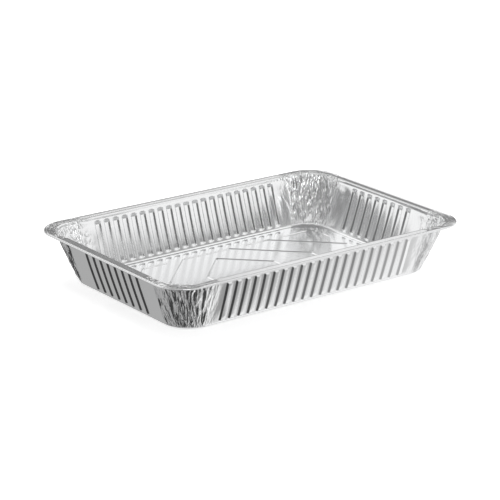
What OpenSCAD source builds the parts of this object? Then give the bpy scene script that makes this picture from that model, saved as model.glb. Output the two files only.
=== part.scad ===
// Foil roasting pan: one sheet of aluminium foil pressed into a deep tray.
// The sheet is a loft. Rows climb from the flat base over the foot, the fluted wall and the
// shoulder to the flange, and end round the curled edge. Each row is a rounded rectangle.
// X runs along the pan, Y across it, and Z up from the underside of the base.

/* [Pan] */
// Length over the rim
pan_l = 330; // [300:1:360]
// Width over the rim
pan_w = 228; // [205:1:250]
// Height from the underside to the top of the curled edge
pan_h = 48.3; // [40:0.1:60]
// Thickness of the foil
foil_t = 0.1; // [0.08:0.01:0.16]
// Lean of the walls from upright, in degrees
wall_lean = 18.5; // [12:0.5:22]
// Radius where the base turns up into the walls
foot_r = 3; // [2:0.5:5]
// Corner radius of the rim's outer edge
rim_corner_r = 28.5; // [26:0.5:34]
// Corner radius of the base
base_corner_r = 25; // [20:0.5:30]

/* [Rim] */
// Diameter of the curled edge
curl_d = 2.4; // [2:0.1:3.2]
// Turn of the curl from its top to the sheet's edge, in degrees
curl_turn = 265; // [225:5:270]
// Height of the curl above the flange
curl_rise = 0.5; // [0.3:0.05:0.8]
// Width of the flat flange, from the outer edge to the shoulder
flange_w = 8.4; // [7:0.1:10]
// Drop of the shoulder from the flange to the wall
shoulder_drop = 2.6; // [2:0.1:3.5]
// Run of the shoulder from the flange to the wall
shoulder_run = 0.9; // [0.6:0.1:1.5]

/* [Flutes] */
// Width of a flute
flute_w = 7; // [5.5:0.1:8]
// Width of each sloping flank of a flute
flank_w = 1.7; // [1.2:0.1:2.2]
// Depth that a flute is pressed outward
flute_depth = 1.4; // [0.8:0.1:1.8]
// Least pitch of the flutes on a long wall
long_pitch = 10; // [9:0.1:14]
// Least pitch of the flutes on a short wall
short_pitch = 11.2; // [9:0.1:14]
// Smooth panel between the flutes and the gathered corner on a long wall
long_panel = 12; // [8:1:30]
// Smooth panel between the flutes and the gathered corner on a short wall
short_panel = 22; // [8:1:30]
// Plain band of wall above the flutes
flute_band = 1.7; // [1:0.1:4]
// Run-out of a flute into the wall at its top
flute_end = 2.6; // [2:0.1:4]
// Drop of a flute's outer edges below its arched top
flute_arch = 0.9; // [0:0.1:2]
// Run-out of a flute at the foot of the wall
flute_foot = 1.2; // [1:0.1:3]

/* [Corners] */
// Folds gathered in each corner
corner_folds = 14; // [8:1:18]
// Height of the corner folds, from a crest to the wall's mean face
fold_h = 1.1; // [0.4:0.1:1.3]
// Sideways wander of the folds as they climb, in columns
fold_sway = 0.5; // [0:0.1:0.6]
// Depth of the puckers in the flange and curl at a corner
pucker = 0.45; // [0.1:0.05:0.5]

/* [Base beads] */
// Width of a bead
bead_w = 2.2; // [1.6:0.1:3]
// Height of a bead above the base
bead_h = 0.7; // [0.3:0.1:1]
// Gap from the edge of the flat base to the beads beside the long walls
bead_side_gap = 17; // [14:0.5:20]
// Gap from the edge of the flat base to the beads beside the short walls
bead_end_gap = 11.4; // [10:0.2:15]
// Half length of the upright lines of the middle shapes
bead_upright = 15.5; // [12:0.5:20]
// Distance from the centre to the upright line of the hexagon
hexagon_x = 38.5; // [32:0.5:44]
// Distance from the centre to the upright line of the octagon
octagon_x = 82; // [70:0.5:86]
// Length of the line at each end of an outer bracket
bracket_line = 25; // [12:1:26]
// Gap between a bracket and the corner bead beside it
corner_bead_gap = 18; // [12:1:22]
// Radius of the corner beads
corner_bead_r = 8; // [5:0.5:10]
// Straight leg of a corner bead beside a short wall
corner_bead_leg = 17.5; // [8:0.5:20]

/* [Hidden] */

foil_colour = [0.83, 0.84, 0.86];
tiny = 0.001;

// Heights and insets of the section. An inset is measured inward from the rim's outer edge.
curl_r = curl_d / 2;
flange_z = pan_h - curl_rise;
wall_top_z = flange_z - shoulder_drop;
wall_top_in = flange_w + shoulder_run;
foot_turn = (90 - wall_lean) / 2;
foot_tangent = foot_r * tan(foot_turn);
foot_corner_in = wall_inset(foil_t);
flat_in = foot_corner_in + foot_tangent;
foot_top_z = foil_t + foot_tangent * cos(wall_lean);
curl_start = -acos(1 - curl_rise / curl_r);
curl_steps = 6;
shoulder_soft = 0.5;
foot_round = foot_r * (1 - cos(foot_turn));

// Half sizes of the flat base, and of the frame that the beads lie on
flat_hl = pan_l / 2 - flat_in;
flat_hw = pan_w / 2 - flat_in;
frame_x = flat_hl - bead_end_gap;
frame_y = flat_hw - bead_side_gap;

// Where a bracket meets the frame's long side, and where a corner bead's two legs end
bracket_x = frame_x + bead_upright - frame_y;
corner_bead_x = bracket_x + corner_bead_gap;
corner_bead_y = frame_y - corner_bead_r - corner_bead_leg;

// The gathered corners start where the straight edges of the base end
long_c = pan_l / 2 - foot_corner_in - base_corner_r;
short_c = pan_w / 2 - foot_corner_in - base_corner_r;

// Columns around one corner: two for each fold, fewer on the rim and at the foot
fold_columns = 2 * corner_folds;
rim_columns = 14;
foot_columns = 10;

// Folds start low at the foot, stand full height halfway up and ease off under the rim
fold_at_foot = 0.3;
fold_at_ends = 0.75;
fold_at_top = 0.5;
curl_share = 0.7;

// Rows of the loft, from the flat base to the edge of the curl:
// inset, height, share of the flute depth, share of the fold height, columns at a corner
flute_zs = [foot_top_z + flute_foot, wall_top_z - flute_band - flute_end, wall_top_z - flute_band];
rows = concat(
    [[flat_in, foil_t, 0, 0, foot_columns]],
    [[flat_in - foot_r * sin(foot_turn), foil_t + foot_round, 0, 0, foot_columns]],
    [[wall_inset(foot_top_z), foot_top_z, 0, fold_at_foot, fold_columns]],
    [[wall_inset(flute_zs[0]), flute_zs[0], 1, fold_at_ends, fold_columns]],
    [[wall_inset(flute_zs[1]), flute_zs[1], 1, 1, fold_columns]],
    [[wall_inset(flute_zs[2]), flute_zs[2], 0, fold_at_ends, fold_columns]],
    [[wall_top_in, wall_top_z, 0, fold_at_top, rim_columns]],
    [[flange_w + shoulder_run / 2, flange_z - shoulder_soft, 0, curl_share, rim_columns]],
    [[flange_w, flange_z, 0, 1, rim_columns]],
    [for (i = [0:curl_steps]) let (a = curl_angle(i)) [
        curl_r * (1 - sin(a)),
        pan_h - curl_r * (1 - cos(a)),
        0,
        i == 0 ? 1 : curl_share,
        rim_columns
    ]]
);
foot_top_row = 2;
flute_low_row = 3;
flute_high_row = 4;
wall_top_row = 6;
last_row = len(rows) - 1;

// Shares of the wall's height for the extra rows in the corners
mid_shares = [0.33, 0.67];

// Repeatable irregular values for the folds, and the least share of its height that one keeps
fold_noise = rands(0, 1, 4 * (fold_columns + 1) * (len(rows) + len(mid_shares)), 11);
fold_least = 0.45;

// The folds' wander is a wave along the corner that shifts from row to row, in degrees
sway_wave = 50;
sway_shift = 130;

function wall_inset(z) = wall_top_in + (wall_top_z - z) * tan(wall_lean);

// Angle of a point on the curl: 0 is its top and 90 its outer side
function curl_angle(i) =
    i == 0 ? curl_start
    : i == 1 ? 0
    : i == 2 ? 45
    : i == 3 ? 90
    : 90 + (curl_turn - 90) * (i - 3) / (curl_steps - 3);

function unit(v) = v / norm(v);

// Centres of the flutes along a wall, from the middle of the wall
function flute_centres(half, pitch) =
    let (
        field = 2 * half - flute_w,
        count = floor(field / pitch + tiny) + 1,
        step = count > 1 ? field / (count - 1) : 0
    )
    [for (i = [0:count - 1]) (i - (count - 1) / 2) * step];
long_flutes = flute_centres(long_c - long_panel, long_pitch);
short_flutes = flute_centres(short_c - short_panel, short_pitch);

// Places along a wall where the fluted rows have a column
function wall_columns(c, flutes) = concat(
    [-c],
    [for (f = flutes) if (f < 0) for (u = flute_edges(f)) u],
    len([for (f = flutes) if (abs(f) < tiny) f]) > 0 ? flute_edges(0) : [0],
    [for (f = flutes) if (f > tiny) for (u = flute_edges(f)) u]
);
function flute_edges(f) = [
    f - flute_w / 2,
    f - flute_w / 2 + flank_w,
    f + flute_w / 2 - flank_w,
    f + flute_w / 2
];

// Depth share of the flutes at a place along a wall
function flute_share(u, flutes) = max(
    [for (f = flutes) abs(u - f) < flute_w / 2 - flank_w + tiny ? 1 : 0]
);
function wall_flutes(seg) = seg % 4 == 0 ? short_flutes : long_flutes;

// Drop of the arched top at a flute's two outer edges
function arch_drop(k, s) =
    s[0] % 2 == 1 || k != flute_high_row ? 0
    : flute_arch * max([for (f = wall_flutes(s[0])) abs(abs(s[1] - f) - flute_w / 2) < tiny ? 1 : 0]);

// Stations of a row, from the middle of the +X wall round to it again: [segment, place].
// Even segments are walls, with the place in millimetres along them. Odd segments are
// corners, with the place as a share of the way round. Segment 8 is segment 0 again.
function stations(short_us, long_us, n) = concat(
    [for (u = short_us) if (u >= 0) [0, u]],
    corner_stations(1, n),
    [for (u = long_us) [2, u]],
    corner_stations(3, n),
    [for (u = short_us) [4, u]],
    corner_stations(5, n),
    [for (u = long_us) [6, u]],
    corner_stations(7, n),
    [for (u = short_us) if (u < 0) [8, u]]
);
function corner_stations(seg, n) = [for (i = [0:n - 1]) [seg, i / n]];
plain_short = [-short_c, 0];
plain_long = [-long_c, 0];
foot_short = [-short_c, -corner_bead_y, 0, corner_bead_y];
foot_long = [-long_c, -corner_bead_x, 0, corner_bead_x];
foot_stations = stations(foot_short, foot_long, foot_columns);
rim_stations = stations(plain_short, plain_long, rim_columns);
wall_stations = stations(
    wall_columns(short_c, short_flutes),
    wall_columns(long_c, long_flutes),
    fold_columns
);
function row_stations(k) =
    k < foot_top_row ? foot_stations
    : k < wall_top_row ? wall_stations
    : rim_stations;

// Order of a station round the pan
function station_key(s) = s[0] + (s[0] % 2 == 1 ? s[1] : side_share(s[1], wall_c(s[0])));
function side_share(u, c) = (u + c) / (2 * c);
function wall_c(seg) = seg % 4 == 0 ? short_c : long_c;

// Point of the outline at an inset, with the outward direction there: [x, y, nx, ny]
function outline(inset, s) =
    let (
        k = floor(s[0] / 2) % 4,
        n = [cos(90 * k), sin(90 * k)],
        e = [-sin(90 * k), cos(90 * k)],
        deep = (k % 2 == 0 ? pan_l : pan_w) / 2 - inset,
        along = (k % 2 == 0 ? pan_w : pan_l) / 2 - inset
    )
    s[0] % 2 == 0 ? concat(s[1] * e + deep * n, n)
    : corner_point(s[1], n, e, deep, along, corner_r(inset), wall_c(s[0] - 1), wall_c(s[0] + 1));
function corner_r(inset) = rim_corner_r + (base_corner_r - rim_corner_r) * inset / foot_corner_in;
function corner_point(share, n, e, deep, along, r, c0, c1) =
    let (
        run0 = along - r - c0,
        arc = r * PI / 2,
        run1 = deep - r - c1,
        w = share * (run0 + arc + run1)
    )
    w <= run0 ? concat((c0 + w) * e + deep * n, n)
    : w >= run0 + arc ? concat(along * e + (deep - r - (w - run0 - arc)) * n, e)
    : let (t = (w - run0) / arc * 90, d = cos(t) * n + sin(t) * e)
    concat((along - r) * e + (deep - r) * n + r * d, d);

// Direction of the food side in the section at a row, as [inset, height]
function row_normal(k) =
    let (
        a = k == 0 ? [1, 0] : unit(section_step(k - 1)),
        b = k == last_row ? a : unit(section_step(k)),
        t = unit(k == 0 ? b : a + b)
    )
    [t[1], -t[0]];
function section_step(k) = [rows[k + 1][0] - rows[k][0], rows[k + 1][1] - rows[k][1]];

// How far the sheet is pressed away from the food side at a station of a row
function press(row, k, s) =
    s[0] % 2 == 1 ? fold_press(row, k, s)
    : row[2] * flute_depth * flute_share(s[1], wall_flutes(s[0]));
function fold_press(row, k, s) =
    let (
        n = row[4],
        i = round(s[1] * n),
        corner = (s[0] - 1) / 2,
        noise = fold_noise[(corner * (len(rows) + len(mid_shares)) + k) * (fold_columns + 1) + i],
        size = row[3] * (fold_least + (1 - fold_least) * noise)
    )
    i == 0 || i == n ? 0
    : n == fold_columns ? size * fold_h * (i % 2 == 0 ? -1 : 1)
    : i % 2 == 0 ? 0
    : size * pucker;

// A corner station moved sideways by the wander of its fold
function swayed(row, k, s) =
    let (i = round(s[1] * row[4]))
    s[0] % 2 == 0 || row[4] != fold_columns || i == 0 ? s
    : [s[0], s[1] + fold_sway * sin(sway_wave * (i + s[0]) + sway_shift * k) / fold_columns];

function at(row, k, normal, s) =
    let (
        drop = arch_drop(k, s),
        o = outline(row[0] + drop * tan(wall_lean), swayed(row, k, s)),
        p = press(row, k, s)
    )
    [o[0] + o[2] * p * normal[0], o[1] + o[3] * p * normal[0], row[1] - drop - p * normal[1]];

// The rows' points on the food side
normals = [for (k = [0:last_row]) row_normal(k)];
function row_points(k) = [for (s = row_stations(k)) at(rows[k], k, normals[k], s)];

// The same points moved through the foil to its other face. Along the walls, a row without
// flutes moves in the plane of the section.
function section_back(k, s) =
    let (o = outline(rows[k][0], s), move = foil_t * normals[k])
    [o[0] + o[2] * move[0], o[1] + o[3] * move[0], rows[k][1] - move[1]];
function back_points(k, pts) =
    let (st = row_stations(k), n = len(pts))
    [for (i = [0:n - 1])
        k == 0 ? pts[i] - [0, 0, foil_t]
        : st[i][0] % 2 == 0 && rows[k][2] == 0 ? section_back(k, st[i])
        : let (
            around = unit(pts[(i + 1) % n] - pts[i]) + unit(pts[i] - pts[(i + n - 1) % n]),
            below = unit(pts[i] - at(rows[k - 1], k - 1, normals[k - 1], st[i])),
            above = k == last_row ? below
                : unit(at(rows[k + 1], k + 1, normals[k + 1], st[i]) - pts[i])
        )
        pts[i] - foil_t * unit(cross(below + above, around))
    ];

// The extra rows in the corners stand on the columns of the fluted rows
mid_columns = [for (i = [0:len(wall_stations) - 1]) if (has_mid(wall_stations[i])) i];
function has_mid(s) = s[0] % 2 == 1 || abs(s[1] + wall_c(s[0])) < tiny;
function mid_row(m) =
    let (
        a = rows[flute_low_row],
        b = rows[flute_high_row],
        z = a[1] + (b[1] - a[1]) * mid_shares[m]
    )
    [wall_inset(z), z, 0, 1, fold_columns];
function mid_points(m) = [
    for (i = mid_columns) at(mid_row(m), last_row + 1 + m, normals[flute_low_row], wall_stations[i])
];
function mid_backs(m, pts) =
    let (n = len(pts))
    [for (i = [0:n - 1])
        let (
            next = pts[min(i + 1, n - 1)],
            last = pts[max(i - 1, 0)],
            o = outline(rows[flute_low_row][0], wall_stations[mid_columns[i]]),
            flat_n = [-o[2] * cos(wall_lean), -o[3] * cos(wall_lean), sin(wall_lean)],
            near = norm(next - pts[i]) < base_corner_r && norm(last - pts[i]) < base_corner_r,
            around = unit(next - pts[i]) + unit(pts[i] - last),
            climb = [o[2] * sin(wall_lean), o[3] * sin(wall_lean), cos(wall_lean)]
        )
        pts[i] - foil_t * (near && i > 0 && i < n - 1 ? unit(cross(climb, around)) : flat_n)
    ];

// Quarter outlines of the base beads, from the X axis to the Y axis: [x, y, share of height].
// A share of 0 is where a line is broken and the outline only passes round its neighbour.
pass_gap = 5;
pass_step = 1.5;
hexagon = [[hexagon_x, 0, 1], [hexagon_x, bead_upright, 1], [0, hexagon_x + bead_upright, 1]];
octagon = [
    [octagon_x, 0, 1],
    [octagon_x, bead_upright, 1],
    [octagon_x + bead_upright - frame_y, frame_y, 1],
    [0, frame_y, 1]
];
bracket = [
    [frame_x, 0, 1],
    [frame_x, bead_upright, 1],
    [bracket_x, frame_y, 1],
    [bracket_x - bracket_line, frame_y, 1],
    [bracket_x - bracket_line - pass_step, frame_y, 0],
    [bracket_x - bracket_line - 2 * pass_step, frame_y + pass_gap, 0],
    [0, frame_y + pass_gap, 0]
];
corner_bead = concat(
    [[frame_x + pass_gap, 0, 0]],
    [[frame_x + pass_gap, corner_bead_y - 2 * pass_step, 0]],
    [[frame_x, corner_bead_y - pass_step, 0]],
    [[frame_x, corner_bead_y, 1]],
    [for (a = [0:30:90]) [
        frame_x - corner_bead_r * (1 - cos(a)),
        frame_y - corner_bead_r * (1 - sin(a)),
        1
    ]],
    [[corner_bead_x, frame_y, 1]],
    [[corner_bead_x - pass_step, frame_y, 0]],
    [[corner_bead_x - 2 * pass_step, frame_y + 2 * pass_gap, 0]],
    [[0, frame_y + 2 * pass_gap, 0]]
);
loops = [hexagon, octagon, bracket, corner_bead];

function polar(p) = atan2(p[1], p[0]);
function flat(p) = [p[0], p[1]];
function sorted(v) =
    len(v) < 2 ? v
    : let (
        p = v[floor(len(v) / 2)],
        lower = [for (x = v) if (x < p) x],
        upper = [for (x = v) if (x > p) x]
    )
    concat(sorted(lower), [p], sorted(upper));

// Angles in the first quarter where a loop has points: its own corners, and its neighbours'
// corners where they are far enough from those
least_turn = 0.8;
function loop_angles(m) =
    let (
        own = [for (p = loops[m]) polar(p)],
        near = concat(
            m > 0 ? [for (p = loops[m - 1]) polar(p)] : [],
            m < len(loops) - 1 ? [for (p = loops[m + 1]) polar(p)] : []
        ),
        extra = [for (t = near) if (min([for (o = own) abs(o - t)]) > least_turn) t]
    )
    sorted(concat(own, extra));
function full_turn(quarter) =
    let (n = len(quarter))
    concat(
        quarter,
        [for (i = [n - 2:-1:0]) 180 - quarter[i]],
        [for (i = [1:n - 1]) 180 + quarter[i]],
        [for (i = [n - 2:-1:1]) 360 - quarter[i]]
    );
function to_quarter(t) = t <= 90 ? t : t <= 180 ? 180 - t : t <= 270 ? t - 180 : 360 - t;

// Widening of an offset along a ray that crosses an edge at a slant, and the least share of
// its width that a bead keeps where it has died away
most_slant = 1.7;
least_width = 0.3;
function slant(a, b, dir) = min(norm(flat(b - a)) / cross(dir, flat(b - a)), most_slant);

// Point of a loop on the ray at angle t, pushed outward by a share of the bead's half width
function on_loop(q, t, side) =
    let (
        tq = to_quarter(t),
        i = max([for (j = [0:len(q) - 2]) if (polar(q[j]) <= tq + tiny) j]),
        dir = [cos(tq), sin(tq)],
        e = flat(q[i + 1] - q[i]),
        r = cross(flat(q[i]), e) / cross(dir, e),
        share = min(1, norm(r * dir - flat(q[i])) / norm(e)),
        h = q[i][2] + share * (q[i + 1][2] - q[i][2]),
        here = slant(q[i], q[i + 1], dir),
        at_corner = i > 0 && abs(polar(q[i]) - tq) < tiny,
        wide = at_corner ? (here + slant(q[i - 1], q[i], dir)) / 2 : here,
        d = r + side * bead_w / 2 * max(h, least_width) * wide
    )
    [d * cos(t), d * sin(t), foil_t + (side == 0 ? bead_h * h : 0)];
function loop_points(m, side) = [for (t = full_turn(loop_angles(m))) on_loop(loops[m], t, side)];

// Every ring of the sheet from the middle of the base outward: beads first, then the rows.
// The extra corner points and the centre of the base come last in the list of points.
sides = [-1, 0, 1];
bead_rings = [for (m = [0:len(loops) - 1]) for (side = sides) loop_points(m, side)];
bead_keys = [for (m = [0:len(loops) - 1]) for (side = sides) full_turn(loop_angles(m))];
row_rings = [for (k = [0:last_row]) row_points(k)];
row_keys = [for (k = [0:last_row]) [for (s = row_stations(k)) station_key(s)]];
foot_angles = [for (p = row_rings[0]) (polar(p) + 360) % 360];

food_side = concat(
    [for (r = bead_rings) each r],
    [for (r = row_rings) each r],
    [for (m = [0:len(mid_shares) - 1]) each mid_points(m)],
    [[0, 0, foil_t]]
);
other_side = concat(
    [for (r = bead_rings) each [for (p = r) p - [0, 0, foil_t]]],
    [for (k = [0:last_row]) each back_points(k, row_rings[k])],
    [for (m = [0:len(mid_shares) - 1]) each mid_backs(m, mid_points(m))],
    [[0, 0, 0]]
);

// First index of each ring in the list of points
ring_sizes = [for (r = concat(bead_rings, row_rings)) len(r)];
ring_starts = [
    for (
        i = 0, start = 0;
        i <= len(ring_sizes);
        start = start + ring_sizes[min(i, len(ring_sizes) - 1)], i = i + 1
    )
    start
];
function ring_ids(r) = [for (i = [0:ring_sizes[r]]) ring_starts[r] + i % ring_sizes[r]];
function closed(keys, turn) = concat(keys, [keys[0] + turn]);

// Triangles between two lines of points, joined in the order of their keys. Where both
// lines step together, the shorter diagonal is taken.
function stitch(a, b, ka, kb) = [
    for (
        i = 0, j = 0, first = steps_first(a, b, ka, kb, 0, 0);
        i + j < len(a) + len(b) - 2;
        next = [i + (first ? 1 : 0), j + (first ? 0 : 1)],
        i = next[0], j = next[1], first = steps_first(a, b, ka, kb, i, j)
    )
    first ? [a[i], a[i + 1], b[j]] : [a[i], b[j + 1], b[j]]
];
function steps_first(a, b, ka, kb, i, j) =
    i >= len(a) - 1 ? false
    : j >= len(b) - 1 ? true
    : abs(ka[i + 1] - kb[j + 1]) > tiny ? ka[i + 1] < kb[j + 1]
    : norm(food_side[a[i + 1]] - food_side[b[j]]) < norm(food_side[b[j + 1]] - food_side[a[i]]);

// Indices of the extra corner points that stand on a column
first_mid = ring_starts[len(ring_sizes)];
mid_rank = [
    for (i = 0, n = 0; i < len(wall_stations); n = n + (has_mid(wall_stations[i]) ? 1 : 0), i = i + 1) n
];
bead_count = len(bead_rings);
function column_ids(i) =
    let (c = i % len(wall_stations))
    concat(
        [ring_starts[bead_count + flute_low_row] + c],
        has_mid(wall_stations[c])
            ? [for (m = [0:len(mid_shares) - 1]) first_mid + m * len(mid_columns) + mid_rank[c]]
            : [],
        [ring_starts[bead_count + flute_high_row] + c]
    );
function column_keys(i) = has_mid(wall_stations[i % len(wall_stations)])
    ? concat([0], mid_shares, [1])
    : [0, 1];

function row_band(k) = stitch(
    ring_ids(bead_count + k),
    ring_ids(bead_count + k + 1),
    closed(row_keys[k], 8),
    closed(row_keys[k + 1], 8)
);
function bead_band(r) = stitch(
    ring_ids(r),
    ring_ids(r + 1),
    closed(bead_keys[r], 360),
    closed(r == bead_count - 1 ? foot_angles : bead_keys[r + 1], 360)
);

// The middle of the base is a fan from its centre
hub = len(food_side) - 1;
face_list = concat(
    [for (i = [0:ring_sizes[0] - 1]) [hub, (i + 1) % ring_sizes[0], i]],
    [for (r = [0:bead_count - 1]) each bead_band(r)],
    [for (k = [0:last_row - 1]) if (k != flute_low_row) each row_band(k)],
    [for (i = [0:len(wall_stations) - 1])
        each [for (f = stitch(column_ids(i), column_ids(i + 1), column_keys(i), column_keys(i + 1)))
            [f[0], f[2], f[1]]]]
);

// The curl's free edge joins the two faces of the sheet
edge = ring_ids(bead_count + last_row);
count = len(food_side);
edge_faces = [for (i = [0:len(edge) - 2]) each [
    [edge[i], edge[i + 1], edge[i] + count],
    [edge[i + 1], edge[i + 1] + count, edge[i] + count]
]];

module pan() {
    color(foil_colour)
    polyhedron(
        points = concat(food_side, other_side),
        faces = concat(
            face_list,
            [for (f = face_list) [f[0] + count, f[2] + count, f[1] + count]],
            edge_faces
        )
    );
}

pan();
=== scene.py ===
import math

import bmesh
import bpy
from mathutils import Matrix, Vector, noise


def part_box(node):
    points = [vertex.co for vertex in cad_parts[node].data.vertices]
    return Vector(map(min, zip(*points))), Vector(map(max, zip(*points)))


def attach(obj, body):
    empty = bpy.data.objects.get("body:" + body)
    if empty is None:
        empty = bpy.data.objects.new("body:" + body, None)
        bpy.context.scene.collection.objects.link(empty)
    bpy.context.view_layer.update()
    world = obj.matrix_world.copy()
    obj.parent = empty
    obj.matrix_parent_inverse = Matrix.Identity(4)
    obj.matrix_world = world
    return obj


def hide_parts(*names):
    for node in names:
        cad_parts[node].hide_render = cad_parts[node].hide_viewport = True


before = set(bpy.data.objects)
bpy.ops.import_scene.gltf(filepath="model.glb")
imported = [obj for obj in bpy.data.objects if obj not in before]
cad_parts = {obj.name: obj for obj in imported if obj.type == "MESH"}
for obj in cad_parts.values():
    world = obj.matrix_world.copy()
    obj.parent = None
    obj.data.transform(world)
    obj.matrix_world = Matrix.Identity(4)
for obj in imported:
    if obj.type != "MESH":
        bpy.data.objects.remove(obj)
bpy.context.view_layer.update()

boxLow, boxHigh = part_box("pan")
scene = bpy.context.scene

# what a user would change on the pan, in metres and degrees
panShape = {
    "foilThickness": 0.0001,
    "wallLean": 18.5,
    "wallBulge": 0.00045,
    "footRadius": 0.003,
    "rimCornerRadius": 0.0285,
    "baseCornerRadius": 0.025,
    "curlDiameter": 0.0024,
    "curlTurn": 265,
    "curlRise": 0.0005,
    "flangeWidth": 0.0084,
    "flangeSlope": 4.5,
    "shoulderDrop": 0.0026,
    "shoulderRun": 0.0009,
    "unevenness": 0.0002,
    "cornerColumns": 95,
    "smoothAngle": 40,
    "flatWeight": 80,
}
flutes = {
    "width": 0.007,
    "flank": 0.0019,
    "depth": 0.0014,
    "longPitch": 0.010,
    "shortPitch": 0.0112,
    "longPanel": 0.012,
    "shortPanel": 0.0215,
    "longPanelColumns": 4,
    "shortPanelColumns": 6,
    "band": 0.0017,
    "foot": 0.0034,
    "topRound": 0.9,  # reach of the round top, in half widths
    "footRound": 1.2,  # how much quicker the foot ends
    "flankEase": 0.13,  # share of a flank that is rounded at each end
    "easeSlope": 0.5,
    "flankSlope": 1.175,
}
folds = {
    "count": 16,
    "arc": 50,  # a corner's reach in millimetres, for the noise
    "lean": 1.9,
    "height": 0.0006,
    "creases": 0.00055,
    "fineCreases": 0.0002,
    "flangeSwirl": 0.00025,
    "rimTicks": 0.00015,
    "rimTickCount": 27,
    "spread": 0.012,
    "panelFolds": 0.0007,
    "panelReach": 0.02,
    "seed": 4.0,
}
beads = {
    "width": 0.0022,
    "height": 0.0007,
    "rings": (-1.5, -1, -0.66, -0.33, 0, 0.33, 0.66, 1, 1.5),  # across a bead, in half widths
    "sideGap": 0.017,
    "endGap": 0.0114,
    "upright": 0.0155,
    "hexagonX": 0.0385,
    "octagonX": 0.082,
    "bracketLine": 0.025,
    "cornerGap": 0.018,
    "cornerRadius": 0.008,
    "cornerLeg": 0.0175,
    "passGap": 0.005,  # between two loops where they only pass
    "step": 0.0015,  # from full height to flat
}

halfLength = (boxHigh.x - boxLow.x) / 2
halfWidth = (boxHigh.y - boxLow.y) / 2
panHeight = boxHigh.z


def tanDeg(a):
    return math.tan(math.radians(a))


def sinDeg(a):
    return math.sin(math.radians(a))


def cosDeg(a):
    return math.cos(math.radians(a))


def smooth(x):
    x = min(max(x, 0), 1)
    return x * x * (3 - 2 * x)


# heights and insets of the section: an inset is measured inward from the rim's outer edge
curlRadius = panShape["curlDiameter"] / 2
flangeZ = panHeight - panShape["curlRise"]
wallTopZ = flangeZ - panShape["shoulderDrop"]
wallTopInset = panShape["flangeWidth"] + panShape["shoulderRun"]


def wallInset(z):
    return wallTopInset + (wallTopZ - z) * tanDeg(panShape["wallLean"])


footTurn = (90 - panShape["wallLean"]) / 2
footTangent = panShape["footRadius"] * tanDeg(footTurn)
footCornerInset = wallInset(panShape["foilThickness"])
flatInset = footCornerInset + footTangent
footTopZ = panShape["foilThickness"] + footTangent * cosDeg(panShape["wallLean"])
# half the straight part of a long and of a short wall, at the foot
longStraight = halfLength - footCornerInset - panShape["baseCornerRadius"]
shortStraight = halfWidth - footCornerInset - panShape["baseCornerRadius"]
flatHalfLength = halfLength - flatInset
flatHalfWidth = halfWidth - flatInset


# the wall swells outward a little between the foot and the shoulder
def wallPlace(z):
    rise = (z - footTopZ) / (wallTopZ - footTopZ)
    return wallInset(z) - panShape["wallBulge"] * 4 * rise * (1 - rise), z


# the section's rows from the flat base to the edge of the curl: (inset, height)
def sectionRows():
    flatStrip = 0.0012
    footLifts = (0.0006, 0.0013, 0.0021, 0.0033)  # close rows where the flutes start
    topDrops = (0.0032, 0.0023, 0.0015, 0.0008, 0.0001, -0.0008)  # and where they end
    topGap = 0.0042
    evenRows = 10
    r = panShape["footRadius"]
    rows = [(flatInset + flatStrip, panShape["foilThickness"])]
    for share in (0, 0.25, 0.5, 0.75, 1):
        a = 2 * footTurn * share
        rows.append((flatInset - r * sinDeg(a), panShape["foilThickness"] + r * (1 - cosDeg(a))))
    high = wallTopZ - flutes["band"]
    for lift in footLifts:
        rows.append(wallPlace(footTopZ + lift))
    start = footTopZ + footLifts[-1]
    top = high - topGap
    for i in range(1, evenRows + 1):
        rows.append(wallPlace(start + (top - start) * i / evenRows))
    for drop in topDrops:
        rows.append(wallPlace(high - drop))
    rows.append((wallTopInset, wallTopZ))
    curlStart = -math.degrees(math.acos(1 - panShape["curlRise"] / curlRadius))
    curlIn = curlRadius * (1 - sinDeg(curlStart))
    flat = panShape["flangeWidth"] - curlIn
    flangeRise = flat * tanDeg(panShape["flangeSlope"])
    shoulderRise = panShape["shoulderDrop"] + flangeRise
    for run, rise in ((0.72, 0.45), (0.5, 0.78), (0.25, 0.94)):  # the shoulder's round
        rows.append((
            panShape["flangeWidth"] + panShape["shoulderRun"] * run,
            wallTopZ + shoulderRise * rise,
        ))
    for share in (0.98, 0.85, 0.7, 0.55, 0.4, 0.25, 0.1):
        rows.append((curlIn + flat * share, flangeZ + flangeRise * share))
    for a in (curlStart, curlStart / 2, 8, 32, 56, 80, 106, 134, 170, 210, panShape["curlTurn"]):
        rows.append((curlRadius * (1 - sinDeg(a)), panHeight - curlRadius * (1 - cosDeg(a))))
    return rows


rows = sectionRows()
footTopRow = 5  # the last of the foot's five rows
wallTopRow = rows.index((wallTopInset, wallTopZ))
flangeRow = wallTopRow + 4  # after three shoulder rows
curlRow = flangeRow + 7  # after seven flange rows
print("section:", len(rows), "rows")


def fluteCentres(half, pitch):
    field = 2 * half - flutes["width"]
    count = int(field / pitch + 0.001) + 1  # a hair more, so that an exact fit counts
    step = field / (count - 1)
    return [(i - (count - 1) / 2) * step for i in range(count)]


longFlutes = fluteCentres(longStraight - flutes["longPanel"], flutes["longPitch"])
shortFlutes = fluteCentres(shortStraight - flutes["shortPanel"], flutes["shortPitch"])


# places along a wall where a column stands: eight on each flute, one between, and the panels
def wallColumns(c, centres, panelSteps):
    half = flutes["width"] / 2
    ease = flutes["flankEase"]
    edges = [half - share * flutes["flank"] for share in (0, ease, 1 - ease, 1)]
    first = centres[0] - half
    last = centres[-1] + half
    places = [-c + (first + c) * i / panelSteps for i in range(panelSteps)]
    for i, f in enumerate(centres):
        places += [f - e for e in edges] + [f + e for e in reversed(edges)]
        if i < len(centres) - 1:
            places.append((f + centres[i + 1]) / 2)
    return places + [last + (c - last) * i / panelSteps for i in range(1, panelSteps)]


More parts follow.
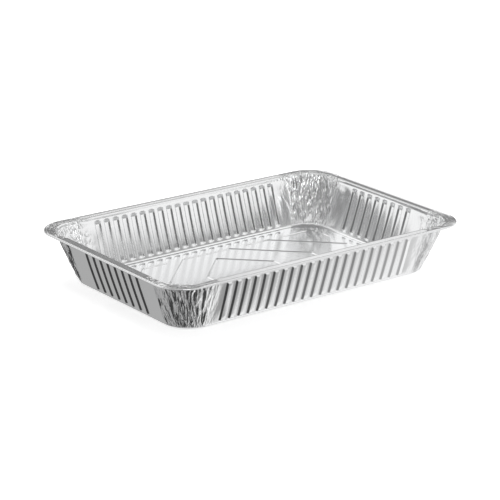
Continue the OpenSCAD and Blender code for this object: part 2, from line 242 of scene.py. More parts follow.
# stations round the pan from the start of the +X wall: (segment, place); odd segments are corners
def layOutStations():
    shortPlaces = wallColumns(shortStraight, shortFlutes, flutes["shortPanelColumns"])
    longPlaces = wallColumns(longStraight, longFlutes, flutes["longPanelColumns"])
    n = panShape["cornerColumns"]
    stations = []
    for k in range(4):
        stations += [(2 * k, u) for u in (shortPlaces if k % 2 == 0 else longPlaces)]
        stations += [(2 * k + 1, i / n) for i in range(n)]
    return stations


stations = layOutStations()


def cornerRadius(inset):
    change = panShape["baseCornerRadius"] - panShape["rimCornerRadius"]
    return panShape["rimCornerRadius"] + change * inset / footCornerInset


# a point of the outline at an inset, and the outward direction there
def outline(inset, station):
    seg, place = station
    k = seg // 2
    n = Vector(((1, 0), (0, 1), (-1, 0), (0, -1))[k])
    e = Vector(((0, 1), (-1, 0), (0, -1), (1, 0))[k])
    deep = (halfLength if k % 2 == 0 else halfWidth) - inset
    along = (halfWidth if k % 2 == 0 else halfLength) - inset
    if seg % 2 == 0:
        return place * e + deep * n, n
    r = cornerRadius(inset)
    runIn = along - r - (shortStraight if k % 2 == 0 else longStraight)
    runOut = deep - r - (longStraight if k % 2 == 0 else shortStraight)
    arc = r * math.pi / 2
    w = place * (runIn + arc + runOut)
    if w <= runIn:
        return (along - r - runIn + w) * e + deep * n, n
    if w >= runIn + arc:
        return along * e + (deep - r - (w - runIn - arc)) * n, e
    t = (w - runIn) / r
    d = math.cos(t) * n + math.sin(t) * e
    return (along - r) * e + (deep - r) * n + r * d, d


# depth share of the flutes: a channel with a round top and foot and straight flanks
def fluteShare(station, z):
    seg, u = station
    centres = shortFlutes if seg % 4 == 0 else longFlutes
    half = flutes["width"] / 2
    du = min(abs(u - f) for f in centres)
    top = wallTopZ - flutes["band"] - half * flutes["topRound"]
    low = footTopZ + flutes["foot"]
    dz = max(0, z - top, (low - z) * flutes["footRound"])
    ease = flutes["flankEase"]
    slow = flutes["easeSlope"]
    x = (half - math.hypot(du, dz)) / flutes["flank"]
    if x < ease:
        return max(0, x) * slow
    climb = (min(x, 1 - ease) - ease) * flutes["flankSlope"]
    return min(1, ease * slow + climb + max(0, x - (1 - ease)) * slow)


def triangleWave(x):
    return 1 - 4 * abs(x - math.floor(x) - 0.5)


# noise folded at zero, so that it has sharp crests
def ridge(x, y, z):
    return 1 - 2.6 * abs(noise.noise(Vector((x, y, z))))


# irregular gathers of a corner: sharp crests that lean, fork and fade up the wall;
# across and up are divided by the length of a wave in millimetres
def foldPress(station, z):
    seg, share = station
    across = share * folds["arc"]
    up = z * 1000
    seed = folds["seed"] + seg * 7.3  # no two corners alike
    lean = folds["lean"] * noise.noise(Vector((across / 8, up / 22, seed)))
    strength = 0.75 + 0.9 * noise.noise(Vector((across / 5, up / 17, seed + 9)))
    main = triangleWave(share * folds["count"] + lean) * min(max(strength, 0.2), 1.2)
    skew = 5 * noise.noise(Vector((across / 12, up / 24, seed + 15)))
    crease = ridge((across + skew) / 3.1, up / 12, seed + 20)
    fine = ridge((across - skew) / 1.7, up / 6, seed + 31)
    edge = 0.07
    edges = smooth(share / edge) * smooth((1 - share) / edge)
    foot = 0.35 * smooth((z - 0.0006) / 0.0012) + 0.65 * smooth((z - 0.0015) / 0.008)  # slight at first
    press = main * folds["height"] + crease * folds["creases"] + fine * folds["fineCreases"]
    return edges * foot * press


# long soft folds that run on from a corner into the plain panel beside it
def panelPress(station, z):
    seg, u = station
    rampIn = 0.0035
    rampOut = 0.009
    rampUp = 0.008
    away = (shortStraight if seg % 4 == 0 else longStraight) - abs(u)
    near = smooth(away / rampIn) * smooth((folds["panelReach"] - away) / rampOut)
    ends = smooth((z - footTopZ) / rampUp) * smooth((wallTopZ - z) / rampUp)
    return folds["panelFolds"] * near * ends * noise.noise(Vector((u * 160, z * 45, folds["seed"] + seg)))


# crumpled flange and curl at a corner: lines that swirl along it, and ticks across it
def rimPress(station, row):
    seg, share = station
    seed = folds["seed"] + seg * 5.1
    around = share * folds["arc"]
    out = rows[row][0] * 1000
    edge = 0.05
    edges = smooth(share / edge) * smooth((1 - share) / edge)
    shift = 1.2 * noise.noise(Vector((around / 5, 0, seed)))
    ticks = 0.5 + 0.5 * triangleWave(share * folds["rimTickCount"] + shift)
    ticks *= 0.6 + 0.6 * noise.noise(Vector((around / 3, out / 5, seed + 4)))
    press = folds["rimTicks"] * ticks
    if row < curlRow:
        swirl = math.sin(out * 2.3 + 4.5 * noise.noise(Vector((around / 8, out / 7, seed + 2))))
        press += folds["flangeSwirl"] * (0.5 + 0.5 * swirl)
    return edges * max(0, press)


# slow unevenness of thin foil, in swells of about 60 mm along the wall and 40 mm up it
def wander(x, y, z):
    return panShape["unevenness"] * noise.noise(Vector((x * 16, y * 16, z * 26)))


# outward direction of the section at a row
def rowNormal(row):
    a = rows[max(row - 1, 0)]
    b = rows[min(row + 1, len(rows) - 1)]
    t = Vector((b[0] - a[0], b[1] - a[1])).normalized()
    return Vector((t.y, -t.x))


rowNormals = [rowNormal(i) for i in range(len(rows))]


# a point of the wall or the rim, pressed out by flutes, folds or crumples
def panPoint(row, station):
    inset, z = rows[row]
    normal = rowNormals[row]
    spot, out = outline(inset, station)
    if row > wallTopRow:
        press = rimPress(station, row) if station[0] % 2 else 0
    elif station[0] % 2:
        press = foldPress(station, z)
    elif row >= footTopRow - 1:
        press = flutes["depth"] * fluteShare(station, z) + panelPress(station, z)
    else:
        press = 0
    if footTopRow < row < wallTopRow:
        press += wander(spot.x, spot.y, z) * smooth((z - footTopZ) / 0.01)
    spot = spot + out * press * normal.x
    return Vector((spot.x, spot.y, z - press * normal.y))


# quarter outlines of the base beads, from the X axis to the Y axis: (x, y, share of height)
frameX = flatHalfLength - beads["endGap"]
frameY = flatHalfWidth - beads["sideGap"]


def beadLoops():
    passGap = beads["passGap"]
    step = beads["step"]
    up = beads["upright"]
    bracketX = frameX + up - frameY
    octagonTop = beads["octagonX"] + up - frameY
    hexagon = [(beads["hexagonX"], 0, 1), (beads["hexagonX"], up, 1), (0, beads["hexagonX"] + up, 1)]
    octagon = [(beads["octagonX"], 0, 1), (beads["octagonX"], up, 1)]
    octagon += [(octagonTop, frameY, 1), (0, frameY, 1)]
    lineEnd = bracketX - beads["bracketLine"]
    bracket = [(frameX, 0, 1), (frameX, up, 1), (bracketX, frameY, 1), (lineEnd, frameY, 1)]
    bracket += [(lineEnd - step, frameY, 0), (lineEnd - 2 * step, frameY + passGap, 0)]
    bracket.append((0, frameY + passGap, 0))
    r = beads["cornerRadius"]
    legEnd = frameY - r - beads["cornerLeg"]
    lineX = bracketX + beads["cornerGap"]
    corner = [(frameX + passGap, 0, 0), (frameX + passGap, legEnd - 2 * step, 0)]
    corner += [(frameX, legEnd - step, 0), (frameX, legEnd, 1)]
    for a in range(0, 91, 15):
        corner.append((frameX - r * (1 - cosDeg(a)), frameY - r * (1 - sinDeg(a)), 1))
    corner += [(lineX, frameY, 1), (lineX - step, frameY, 0)]
    corner += [(lineX - 2 * step, frameY + 2 * passGap, 0), (0, frameY + 2 * passGap, 0)]
    return [hexagon, octagon, bracket, corner]


loops = beadLoops()


def angleOf(p):
    return math.degrees(math.atan2(p[1], p[0]))


# rays of the base in degrees: through every corner of the loops, and some between
def webAngles():
    between = [3, 8, 15, 24, 33, 50, 62, 70, 78, 84]
    leastGap = 0.15
    corners = [round(angleOf(p), 4) for loop in loops for p in loop]
    quarter = sorted(corners + between)
    kept = [quarter[0]]
    for a in quarter[1:]:
        if a - kept[-1] > leastGap:
            kept.append(a)
    kept[-1] = 90.0
    turn = kept + [180 - a for a in kept[-2::-1]] + [180 + a for a in kept[1:]]
    return turn + [360 - a for a in kept[-2:0:-1]]


# widening of an offset along a ray that crosses an edge at a slant
def slant(loop, i, ray):
    most = 1.7
    edge = Vector(loop[i + 1][:2]) - Vector(loop[i][:2])
    return min(edge.length / (ray.x * edge.y - ray.y * edge.x), most)


# a bead loop's point on the ray at an angle, pushed out by a share of the half width
def onLoop(loop, angle, side):
    a = angle % 360
    quarterA = a if a <= 90 else 180 - a if a <= 180 else a - 180 if a <= 270 else 360 - a
    ray = Vector((cosDeg(quarterA), sinDeg(quarterA)))
    i = max(j for j in range(len(loop) - 1) if angleOf(loop[j]) <= quarterA + 0.01)
    start = Vector(loop[i][:2])
    edge = Vector(loop[i + 1][:2]) - start
    r = start.x * edge.y - start.y * edge.x
    r /= ray.x * edge.y - ray.y * edge.x
    share = min(1, (r * ray - start).length / edge.length)
    height = loop[i][2] + share * (loop[i + 1][2] - loop[i][2])
    wide = slant(loop, i, ray)
    if i > 0 and abs(angleOf(loop[i]) - quarterA) < 0.02:
        wide = (wide + slant(loop, i - 1, ray)) / 2
    d = r + side * beads["width"] / 2 * max(height, 0.3) * wide  # narrow where the loop lies flat
    lift = beads["height"] * height * (0.5 + 0.5 * math.cos(math.pi * min(abs(side), 1)))
    return Vector((d * cosDeg(a), d * sinDeg(a), panShape["foilThickness"] + lift))


def deselectAll():
    if bpy.context.object and bpy.context.object.mode != "OBJECT":
        bpy.ops.object.mode_set(mode="OBJECT")
    bpy.ops.object.select_all(action="DESELECT")


# a sleeve: a ring of edges extruded up once for each further row
def addSleeve(name, ringCount, rowCount):
    deselectAll()
    bpy.ops.mesh.primitive_circle_add(vertices=ringCount, radius=1)
    sleeve = bpy.context.object
    sleeve.name = name
    sleeve.data.name = name
    bpy.ops.object.mode_set(mode="EDIT")
    bpy.ops.mesh.select_all(action="SELECT")
    for _ in range(rowCount - 1):
        bpy.ops.mesh.extrude_region_move(TRANSFORM_OT_translate={"value": (0, 0, 1)})
    bpy.ops.object.mode_set(mode="OBJECT")
    return sleeve


def turned(v):
    return math.atan2(v.co.y, v.co.x) % (2 * math.pi)


# moves every point of a sleeve to its place, and returns each point's row and column
def shapeSleeve(sleeve, ringCount, place):
    spots = []
    start = turned(sleeve.data.vertices[0])
    for v in sleeve.data.vertices:
        turn = (turned(v) - start) / (2 * math.pi)
        spots.append((round(v.co.z), round(turn * ringCount) % ringCount))
        v.co = place(*spots[-1])
    return spots


# the foil's own map: metres round the rim, and metres up the section
def mapSleeve(sleeve, spots, ringCount, around, across):
    layer = sleeve.data.uv_layers.new(name="foilMap")
    for face in sleeve.data.polygons:
        columns = [spots[v][1] for v in face.vertices]
        wraps = max(columns) - min(columns) > 1
        for corner, v in zip(face.loop_indices, face.vertices):
            row, column = spots[v]
            if wraps and column == 0:
                column = ringCount
            layer.data[corner].uv = (around[column], across[row])


def markSleeve(sleeve, spots, name, value):
    layer = sleeve.data.attributes.new(name, "FLOAT", "POINT")
    for i, (row, column) in enumerate(spots):
        layer.data[i].value = value(row, column)


def sumSteps(points):
    total = [0]
    for a, b in zip(points, points[1:]):
        total.append(total[-1] + (Vector(b) - Vector(a)).length)
    return total


# how much a place belongs to the gathered corners, which spread a little into the panels
def gatherMark(row, column):
    atEdge = 0.35
    edge = 0.1
    seg, place = stations[column]
    if row > wallTopRow + 1:
        return 0
    start = smooth((row - 1) / 3)
    if seg % 2:
        return start * (atEdge + (1 - atEdge) * smooth(place / edge) * smooth((1 - place) / edge))
    end = shortStraight if seg % 4 == 0 else longStraight
    return start * atEdge * smooth(1 - (end - abs(place)) / folds["spread"])


# the same for the corners' flange and curl
def swirlMark(row, column):
    edge = 0.05
    seg, place = stations[column]
    if seg % 2 == 0 or not flangeRow - 3 <= row <= curlRow + 2:
        return 0
    return smooth(place / edge) * smooth((1 - place) / edge)


# the straight flanges and the outer side of their curl
def hatchMark(row, column):
    if stations[column][0] % 2:
        return 0
    return 1 if flangeRow - 1 <= row <= curlRow + 5 else 0


# the steep sides of the flutes, where painted shade darkens the colour, most in the middle of each flank
def flankPaintedShadeMark(row, column):
    station = stations[column]
    if station[0] % 2 or not footTopRow <= row < wallTopRow:
        return 0
    share = fluteShare(station, rows[row][1])
    return 4 * share * (1 - share)


def makeWall():
    wall = addSleeve("pan_foil", len(stations), len(rows))
    spots = shapeSleeve(wall, len(stations), lambda row, column: panPoint(row, stations[column]))
    ring = [outline(0, s)[0] for s in stations]
    mapSleeve(wall, spots, len(stations), sumSteps(ring + ring[:1]), sumSteps(rows))
    markSleeve(wall, spots, "gather", gatherMark)
    markSleeve(wall, spots, "hatch", hatchMark)
    markSleeve(wall, spots, "swirl", swirlMark)
    # the flank mark carries painted shade into the foil's colour
    markSleeve(wall, spots, "flank", flankPaintedShadeMark)
    print("wall and rim:", len(wall.data.vertices), "points")
    return wall


def makeBase():
    angles = webAngles()
    rings = [(loop, side) for loop in loops for side in beads["rings"]]
    base = addSleeve("pan_base", len(angles), len(rings))
    shapeSleeve(base, len(angles), lambda row, column: onLoop(rings[row][0], angles[column], rings[row][1]))
    layer = base.data.uv_layers.new(name="foilMap")
    for corner in base.data.loops:
        layer.data[corner.index].uv = base.data.vertices[corner.vertex_index].co.xy
    print("base:", len(base.data.vertices), "points")
    return base


def makePan():
    wall = makeWall()
    base = makeBase()
    deselectAll()
    wall.select_set(True)
    base.select_set(True)
    bpy.context.view_layer.objects.active = wall
    bpy.ops.object.join()
    joinBase(wall)
    return wall


# whether a point lies on the foot's lowest row
def onFoot(v):
    r = cornerRadius(rows[0][0])
    x = max(abs(v.co.x) - (halfLength - rows[0][0] - r), 0)
    y = max(abs(v.co.y) - (halfWidth - rows[0][0] - r), 0)
    return abs(math.hypot(x, y) - r) < 0.0005 and (x > 0 or y > 0)


# joins the base to the foot of the wall and closes the middle of the base
def joinBase(pan):
    middleReach = 0.06  # between the hexagon's points and the outermost loop
    flatZ = 0.0002
    bm = bmesh.new()
    bm.from_mesh(pan.data)
    edges = [e for e in bm.edges if e.is_boundary]
    low = [v for v in {v for e in edges for v in e.verts} if v.co.z < flatZ]
    footRing = sorted([v for v in low if onFoot(v)], key=turned)
    baseRing = sorted([v for v in low if not onFoot(v) and v.co.xy.length > middleReach], key=turned)
    middle = sorted([v for v in low if v.co.xy.length <= middleReach], key=turned)
    faces = zipRings(bm, baseRing, footRing)
    faces.append(bm.faces.new(middle))
    layer = bm.loops.layers.uv["foilMap"]
    for corner in [corner for f in faces for corner in f.loops]:
        corner[layer].uv = corner.vert.co.xy
    bmesh.ops.recalc_face_normals(bm, faces=bm.faces)
    if sum(f.normal.z * f.calc_area() for f in bm.faces if f.calc_center_median().z < flatZ) < 0:
        bmesh.ops.reverse_faces(bm, faces=bm.faces)
    bm.to_mesh(pan.data)
    bm.free()


# closes the strip between two rings of points with triangles, and steps on where the angle is less
def zipRings(bm, inner, outer):
    i = j = 0
    faces = []
    a = [turned(v) for v in inner] + [turned(inner[0]) + 2 * math.pi]
    b = [turned(v) for v in outer] + [turned(outer[0]) + 2 * math.pi]
    while i < len(inner) or j < len(outer):
        near = inner[i % len(inner)]
        far = outer[j % len(outer)]
        if j == len(outer) or (i < len(inner) and a[i + 1] <= b[j + 1]):
            i += 1
            faces.append(bm.faces.new((near, far, inner[i % len(inner)])))
        else:
            j += 1
            faces.append(bm.faces.new((near, far, outer[j % len(outer)])))
    return faces


pan = makePan()


# gives the sheet its thickness and its shading
def finishPan(obj):
    deselectAll()
    obj.select_set(True)
    bpy.context.view_layer.objects.active = obj
    wall = obj.modifiers.new("foilThickness", "SOLIDIFY")
    wall.thickness = panShape["foilThickness"]
    wall.offset = -1
    bpy.ops.object.modifier_apply(modifier=wall.name)
    bpy.ops.object.shade_smooth_by_angle(angle=math.radians(panShape["smoothAngle"]))
    flats = obj.modifiers.new("flatPanels", "WEIGHTED_NORMAL")
    flats.weight = panShape["flatWeight"]
    flats.keep_sharp = True
    bpy.ops.object.modifier_apply(modifier=flats.name)
    triangles = sum(len(f.vertices) - 2 for f in obj.data.polygons)
    print("pan with thickness:", triangles, "triangles")


finishPan(pan)

# bright rolled foil: dents, grain and heights in millimetres, pitches and sizes in metres
foilLook = {
    "colour": (0.94, 0.943, 0.947, 1),
    # painted shade: the colour and share by which the flute flanks are darkened, standing in for the dark
    # room they mirror
    "flankPaintedShadeColour": (0.25, 0.25, 0.26, 1),
    "roughness": 0.13,
    "unevenness": 0.05,
    "dents": 0.03,
    "grain": 0.0012,
    "hatchPitch": 0.0022,
    "hatchHeight": 0.022,
    "crinkleSize": 0.0022,
    "crinkleHeight": 0.36,
    "swirlPitch": 0.0021,
    "swirlHeight": 0.24,
    "flankPaintedShadeShare": 0.2,
}


# adds a node with its settings, and fills its sockets with values or links
def addNode(tree, kind, sockets=None, **settings):
    node = tree.nodes.new("ShaderNode" + kind)
    for name, value in settings.items():
        setattr(node, name, value)
    for socket, value in (sockets or {}).items():
        if isinstance(value, bpy.types.NodeSocket):
            tree.links.new(value, node.inputs[socket])
        else:
            node.inputs[socket].default_value = value
    return node


def compute(tree, operation, *values):
    return addNode(tree, "Math", dict(enumerate(values)), operation=operation).outputs[0]


def addGroup(name, inputs, outputs):
    tree = bpy.data.node_groups.new(name, "ShaderNodeTree")
    for socket, value in inputs.items():
        made = tree.interface.new_socket(socket, in_out="INPUT", socket_type="NodeSocketFloat")
        made.default_value = value
    for socket in outputs:
        tree.interface.new_socket(socket, in_out="OUTPUT", socket_type="NodeSocketFloat")
    return tree, tree.nodes.new("NodeGroupInput").outputs, tree.nodes.new("NodeGroupOutput").inputs


# soft dents about 24 mm apart, and the fine streaks of rolled foil, 25 mm long and 0.7 mm wide
def foilGrainGroup():
    tree, given, out = addGroup("foilGrain", {"dents": 0.03, "grain": 0.001}, ["height", "tone"])
    coords = addNode(tree, "TexCoord").outputs["Object"]
    dents = addNode(tree, "TexNoise", {"Vector": coords, "Scale": 42, "Detail": 2, "Roughness": 0.4})
    along = addNode(tree, "Mapping", {"Vector": coords, "Scale": (40, 1400, 1400)})
    streaks = addNode(tree, "TexNoise", {"Vector": along.outputs[0], "Scale": 1, "Detail": 3})
    soft = compute(tree, "MULTIPLY", dents.outputs["Fac"], given["dents"])
    fine = compute(tree, "MULTIPLY", streaks.outputs["Fac"], given["grain"])
    tree.links.new(compute(tree, "ADD", soft, fine), out["height"])
    tone = addNode(tree, "TexNoise", {"Vector": coords, "Scale": 120, "Detail": 4})
    tree.links.new(compute(tree, "SUBTRACT", tone.outputs["Fac"], 0.5), out["tone"])
    return tree


# slanted knurling that the rolls leave on the flange and the curl, ragged every 4 mm
def rimHatchGroup():
    tree, given, out = addGroup("rimHatch", {"pitch": 0.0022}, ["height"])
    place = addNode(tree, "UVMap", uv_map="foilMap").outputs[0]
    apart = addNode(tree, "SeparateXYZ", {0: place})
    slope = 1.4
    shake = 0.0009
    slanted = compute(tree, "MULTIPLY_ADD", apart.outputs["Y"], slope, apart.outputs["X"])
    ragged = addNode(tree, "TexNoise", {"Vector": place, "Scale": 260, "Detail": 1}).outputs["Fac"]
    slanted = compute(tree, "MULTIPLY_ADD", ragged, shake, slanted)
    halfPitch = compute(tree, "MULTIPLY", given["pitch"], 0.5)
    wave = compute(tree, "PINGPONG", slanted, halfPitch)
    tree.links.new(compute(tree, "DIVIDE", wave, halfPitch), out["height"])
    return tree


# crumples of the corner flanges, which swing to and fro along the rim every 13 mm
def flangeSwirlGroup():
    tree, given, out = addGroup("flangeSwirl", {"pitch": 0.002}, ["height"])
    place = addNode(tree, "UVMap", uv_map="foilMap").outputs[0]
    apart = addNode(tree, "SeparateXYZ", {0: place})
    turn = compute(tree, "DIVIDE", apart.outputs["Y"], given["pitch"])
    bend = addNode(tree, "TexNoise", {"Vector": place, "Scale": 75, "Detail": 1.5}).outputs["Fac"]
    swing = 3.5
    turn = compute(tree, "MULTIPLY_ADD", bend, swing, turn)
    tree.links.new(compute(tree, "PINGPONG", turn, 0.5), out["height"])
    return tree


# sharp fine creases that run up the gathered corners
def cornerCrinkleGroup():
    tree, given, out = addGroup("cornerCrinkle", {"size": 0.002}, ["height"])
    place = addNode(tree, "UVMap", uv_map="foilMap").outputs[0]
    across = compute(tree, "DIVIDE", 1, given["size"])
    scaled = addNode(tree, "VectorMath", {0: place, "Scale": across}, operation="SCALE").outputs[0]
    stretch = (1, 0.36, 1)  # long up the wall
    stretched = addNode(tree, "Mapping", {"Vector": scaled, "Scale": stretch}).outputs[0]
    warp = addNode(tree, "TexNoise", {"Vector": stretched, "Scale": 0.5, "Detail": 1}).outputs["Color"]
    bend = (1.6, 1.6, 0)
    bent = addNode(tree, "VectorMath", {0: warp, 1: bend, 2: stretched}, operation="MULTIPLY_ADD")
    creases = addNode(tree, "TexVoronoi", {"Vector": bent.outputs[0], "Scale": 1}, feature="F1")
    fine = addNode(tree, "TexNoise", {"Vector": bent.outputs[0], "Scale": 1.7, "Detail": 2}).outputs["Fac"]
    fineShare = 0.6
    fine = compute(tree, "MULTIPLY", fine, fineShare)
    tree.links.new(compute(tree, "ADD", creases.outputs["Distance"], fine), out["height"])
    return tree


def foilMaterial():
    mat = bpy.data.materials.new("foilBright")
    mat.use_nodes = True
    tree = mat.node_tree
    shader = tree.nodes["Principled BSDF"]
    shader.inputs["Metallic"].default_value = 1

    def mark(name):
        return addNode(tree, "Attribute", attribute_name=name).outputs["Fac"]

    grain = addNode(tree, "Group", node_tree=foilGrainGroup())
    grain.inputs["dents"].default_value = foilLook["dents"]
    grain.inputs["grain"].default_value = foilLook["grain"]
    hatch = addNode(tree, "Group", node_tree=rimHatchGroup())
    hatch.inputs["pitch"].default_value = foilLook["hatchPitch"]
    swirl = addNode(tree, "Group", node_tree=flangeSwirlGroup())
    swirl.inputs["pitch"].default_value = foilLook["swirlPitch"]
    crinkle = addNode(tree, "Group", node_tree=cornerCrinkleGroup())
    crinkle.inputs["size"].default_value = foilLook["crinkleSize"]

    hatchHeight = compute(tree, "MULTIPLY", hatch.outputs["height"], foilLook["hatchHeight"])
    crinkleHeight = compute(tree, "MULTIPLY", crinkle.outputs["height"], foilLook["crinkleHeight"])
    height = compute(tree, "MULTIPLY_ADD", hatchHeight, mark("hatch"), grain.outputs["height"])
    height = compute(tree, "MULTIPLY_ADD", crinkleHeight, mark("gather"), height)
    swirlHeight = compute(tree, "MULTIPLY", swirl.outputs["height"], foilLook["swirlHeight"])
    height = compute(tree, "MULTIPLY_ADD", swirlHeight, mark("swirl"), height)
    bump = addNode(tree, "Bump", {"Height": height, "Distance": 0.001, "Strength": 1})
    tree.links.new(bump.outputs["Normal"], shader.inputs["Normal"])

    spread = foilLook["unevenness"] * 2
    uneven = compute(tree, "MULTIPLY_ADD", grain.outputs["tone"], spread, foilLook["roughness"])
    tree.links.new(uneven, shader.inputs["Roughness"])
    # painted shade: the flanks' colour is mixed towards dark grey, standing in for dark reflections
    paintedShadeAmount = compute(tree, "MULTIPLY", mark("flank"), foilLook["flankPaintedShadeShare"])
    paintedShadeMix = addNode(tree, "Mix", {"Factor": paintedShadeAmount}, data_type="RGBA")
    paintedShadeMix.inputs[6].default_value = foilLook["colour"]
    paintedShadeMix.inputs[7].default_value = foilLook["flankPaintedShadeColour"]
    tree.links.new(paintedShadeMix.outputs[2], shader.inputs["Base Color"])
    return mat


pan.data.materials.append(foilMaterial())
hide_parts("pan")
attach(pan, "root")
print("foil material on")

# studio: a pale floor, one soft lamp overhead, and the camera at the photo's angle
studio = {
    "floor": 0.84,
    "floorGlow": 0.56,
    "floorSize": 12,
    # veil: a painted glow in the floor that only the foil's reflections see, brighter towards the right
    "veilLeft": 0.03,
    "veilRight": 0.53,
    "veilFrom": -0.13,
    "veilTo": 0.19,
    "lampPlace": (0.2, 0.4, 2.0),
    "lampSize": (1.6, 1.6),
    "lampPower": 22,
    "cameraAzimuth": -36.692,
    "cameraElevation": 18.382,
    "cameraDistance": 1.9642,
    "aimRight": -0.00125,
    "aimUp": 0.0219,
    "lens": 153.46,
    "sensorWidth": 36,
    "clipStart": 0.05,
}


def placeCamera():
    az = math.radians(studio["cameraAzimuth"])
    el = math.radians(studio["cameraElevation"])
    back = Vector((math.sin(az) * math.cos(el), -math.cos(az) * math.cos(el), math.sin(el)))
    right = Vector((math.cos(az), math.sin(az), 0))
    up = back.cross(right)
    data = bpy.data.cameras.new("camera")
    data.lens = studio["lens"]
    data.sensor_width = studio["sensorWidth"]
    data.clip_start = studio["clipStart"]
    camera = bpy.data.objects.new("camera", data)
    scene.collection.objects.link(camera)
    target = right * studio["aimRight"] + up * studio["aimUp"]
    camera.location = target + back * studio["cameraDistance"]
    camera.rotation_euler = back.to_track_quat("Z", "Y").to_euler()
    scene.camera = camera


placeCamera()


# white to the camera; the foil mirrors the room below through it, with a painted glow on it that only
# reflections see, faint at the left and bright towards the right
def makeFloor():
    deselectAll()
    bpy.ops.mesh.primitive_plane_add(size=studio["floorSize"])
    floor = bpy.context.object
    floor.name = "floor"
    mat = bpy.data.materials.new("floorWhite")
    mat.use_nodes = True
    tree = mat.node_tree
    tree.nodes.clear()
    rays = addNode(tree, "LightPath")
    pale = addNode(tree, "BsdfDiffuse", {"Color": (studio["floor"],) * 3 + (1,)})
    strength = compute(tree, "MULTIPLY", rays.outputs["Is Camera Ray"], studio["floorGlow"])
    glow = addNode(tree, "Emission", {"Strength": strength})
    lit = addNode(tree, "AddShader", {0: pale.outputs[0], 1: glow.outputs[0]})
    place = addNode(tree, "SeparateXYZ", {0: addNode(tree, "TexCoord").outputs["Object"]})
    side = addNode(tree, "MapRange", {"Value": place.outputs["X"]}, interpolation_type="SMOOTHSTEP")
    ends = {"From Min": "veilFrom", "From Max": "veilTo", "To Min": "veilLeft", "To Max": "veilRight"}
    for socket, name in ends.items():
        side.inputs[socket].default_value = studio[name]
    # painted reflection: to glossy rays the floor is clear, with a glow that rises towards the right
    clear = addNode(tree, "BsdfTransparent")
    veil = addNode(tree, "Emission", {"Strength": 1})
    below = addNode(tree, "MixShader", {0: side.outputs[0], 1: clear.outputs[0], 2: veil.outputs[0]})
    through = compute(tree, "MAXIMUM", rays.outputs["Is Glossy Ray"], rays.outputs["Is Shadow Ray"])
    mix = addNode(tree, "MixShader", {0: through, 1: lit.outputs[0], 2: below.outputs[0]})
    addNode(tree, "OutputMaterial", {"Surface": mix.outputs[0]})
    mat.cycles.emission_sampling = "NONE"
    floor.data.materials.append(mat)


makeFloor()


def addLamp():
    aim = Vector((0, 0, 0.02))
    data = bpy.data.lights.new("overhead", "AREA")
    data.shape = "RECTANGLE"
    data.size, data.size_y = studio["lampSize"]
    data.energy = studio["lampPower"]
    lamp = bpy.data.objects.new("overhead", data)
    lamp.location = studio["lampPlace"]
    lamp.rotation_euler = (lamp.location - aim).to_track_quat("Z", "Y").to_euler()
    lamp.visible_glossy = False  # the foil mirrors the room alone
    scene.collection.objects.link(lamp)


addLamp()


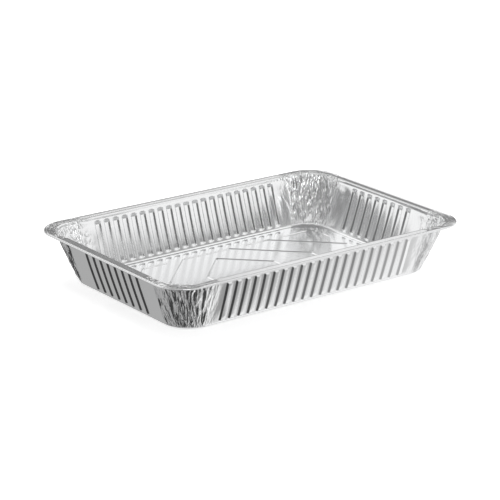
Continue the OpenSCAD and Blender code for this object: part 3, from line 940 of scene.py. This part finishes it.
# the room that the foil mirrors, in patches of which each lies over those before it. A patch is its
# azimuth from +X towards +Y, half width, fade, lowest and highest elevation and soft edge in
# degrees, and then its strength
room = {
    "glow": 0.75,
    "dimmer": 0.8,
    "patches": {
        "lowBand": (0, 180, 0, -16, 13, 5, 1.2),
        "brightGap": (30, 20, 8, 23, 28, 4, 1.2),
        "rimDim": (54, 14, 8, 14, 20.5, 3.5, 0.1),
        "dimBand": (123, 66, 6, 20, 26, 9, 0.27),
        "rimGrey": (64, 8, 3, 19, 27, 3, 0.3),
        "rimWhite": (92, 34, 12, 33, 50, 4, 1.25),
        "rimRight": (36, 14, 3, 5, 19, 2, 0.3),
        "frontHaze": (305, 14, 10, 16.5, 26, 4, 0.42),
        "rightSide": (345, 12, 24, 30, 60, 9, 1.35),
        "backStrip": (90, 12, 30, 32, 52, 5, 1.3),
        "ceiling": (0, 180, 0, 64, 99, 9, 0.35),
        "backLow": (30, 24, 9, 33, 41, 3, 0.42),
        "backGap": (24, 12, 9, 44, 56, 4, 0.25),
        "frontTop": (233, 40, 22, 42, 62, 6, 1.1),
        "frontSide": (233, 27, 22, 13, 34, 7, 0.36),
        "frontLamp": (250, 6, 7, 6, 24, 5, 2.6),
        "darkCore": (216, 13, 12, 3, 19, 5, 0.2),
        "under": (0, 180, 0, -99, -25, 8, 0.5),
        "underRight": (356, 14, 26, -75, -30, 9, 1.2),
        "underFront": (311, 9, 9, -60, -36, 5, 0.36),
        "underDark": (213, 42, 34, -80, -26, 8, 0.025),
    },
}


def makeRoom():
    world = bpy.data.worlds.new("studioRoom")
    world.use_nodes = True
    tree = world.node_tree
    tree.nodes.clear()
    apart = addNode(tree, "SeparateXYZ", {0: addNode(tree, "TexCoord").outputs["Generated"]})
    x, y, z = (apart.outputs[i] for i in range(3))
    elevation = compute(tree, "DEGREES", compute(tree, "ARCSINE", z))
    level = compute(tree, "SQRT", compute(tree, "MULTIPLY_ADD", y, y, compute(tree, "MULTIPLY", x, x)))
    level = compute(tree, "MAXIMUM", level, 0.001)  # never zero, straight up or down

    def step(value, low, high):
        node = addNode(tree, "MapRange", {"Value": value}, interpolation_type="SMOOTHSTEP")
        node.inputs["From Min"].default_value = low
        node.inputs["From Max"].default_value = high
        return node.outputs[0]

    def patchMask(azimuth, half, fade, low, high, soft):
        above = step(elevation, low - soft, low)
        below = step(elevation, high + soft, high)
        mask = compute(tree, "MULTIPLY", above, below)
        if half < 180:
            dot = compute(tree, "MULTIPLY", x, cosDeg(azimuth))
            dot = compute(tree, "MULTIPLY_ADD", y, sinDeg(azimuth), dot)
            dot = compute(tree, "DIVIDE", dot, level)
            side = step(dot, cosDeg(half + fade), cosDeg(half))
            mask = compute(tree, "MULTIPLY", mask, side)
        return mask

    bright = addNode(tree, "Value").outputs[0]
    bright.default_value = room["glow"]
    for *area, strength in room["patches"].values():
        change = compute(tree, "SUBTRACT", strength, bright)
        bright = compute(tree, "MULTIPLY_ADD", change, patchMask(*area), bright)
    rays = addNode(tree, "LightPath")
    bright = compute(tree, "MULTIPLY", bright, room["dimmer"])
    seen = compute(tree, "MAXIMUM", bright, rays.outputs["Is Camera Ray"])  # white to the camera
    back = addNode(tree, "Background", {"Color": (1, 1, 1, 1), "Strength": seen})
    addNode(tree, "OutputWorld", {"Surface": back.outputs[0]})
    scene.world = world


makeRoom()
print("studio set")

scene.view_settings.view_transform = "Standard"
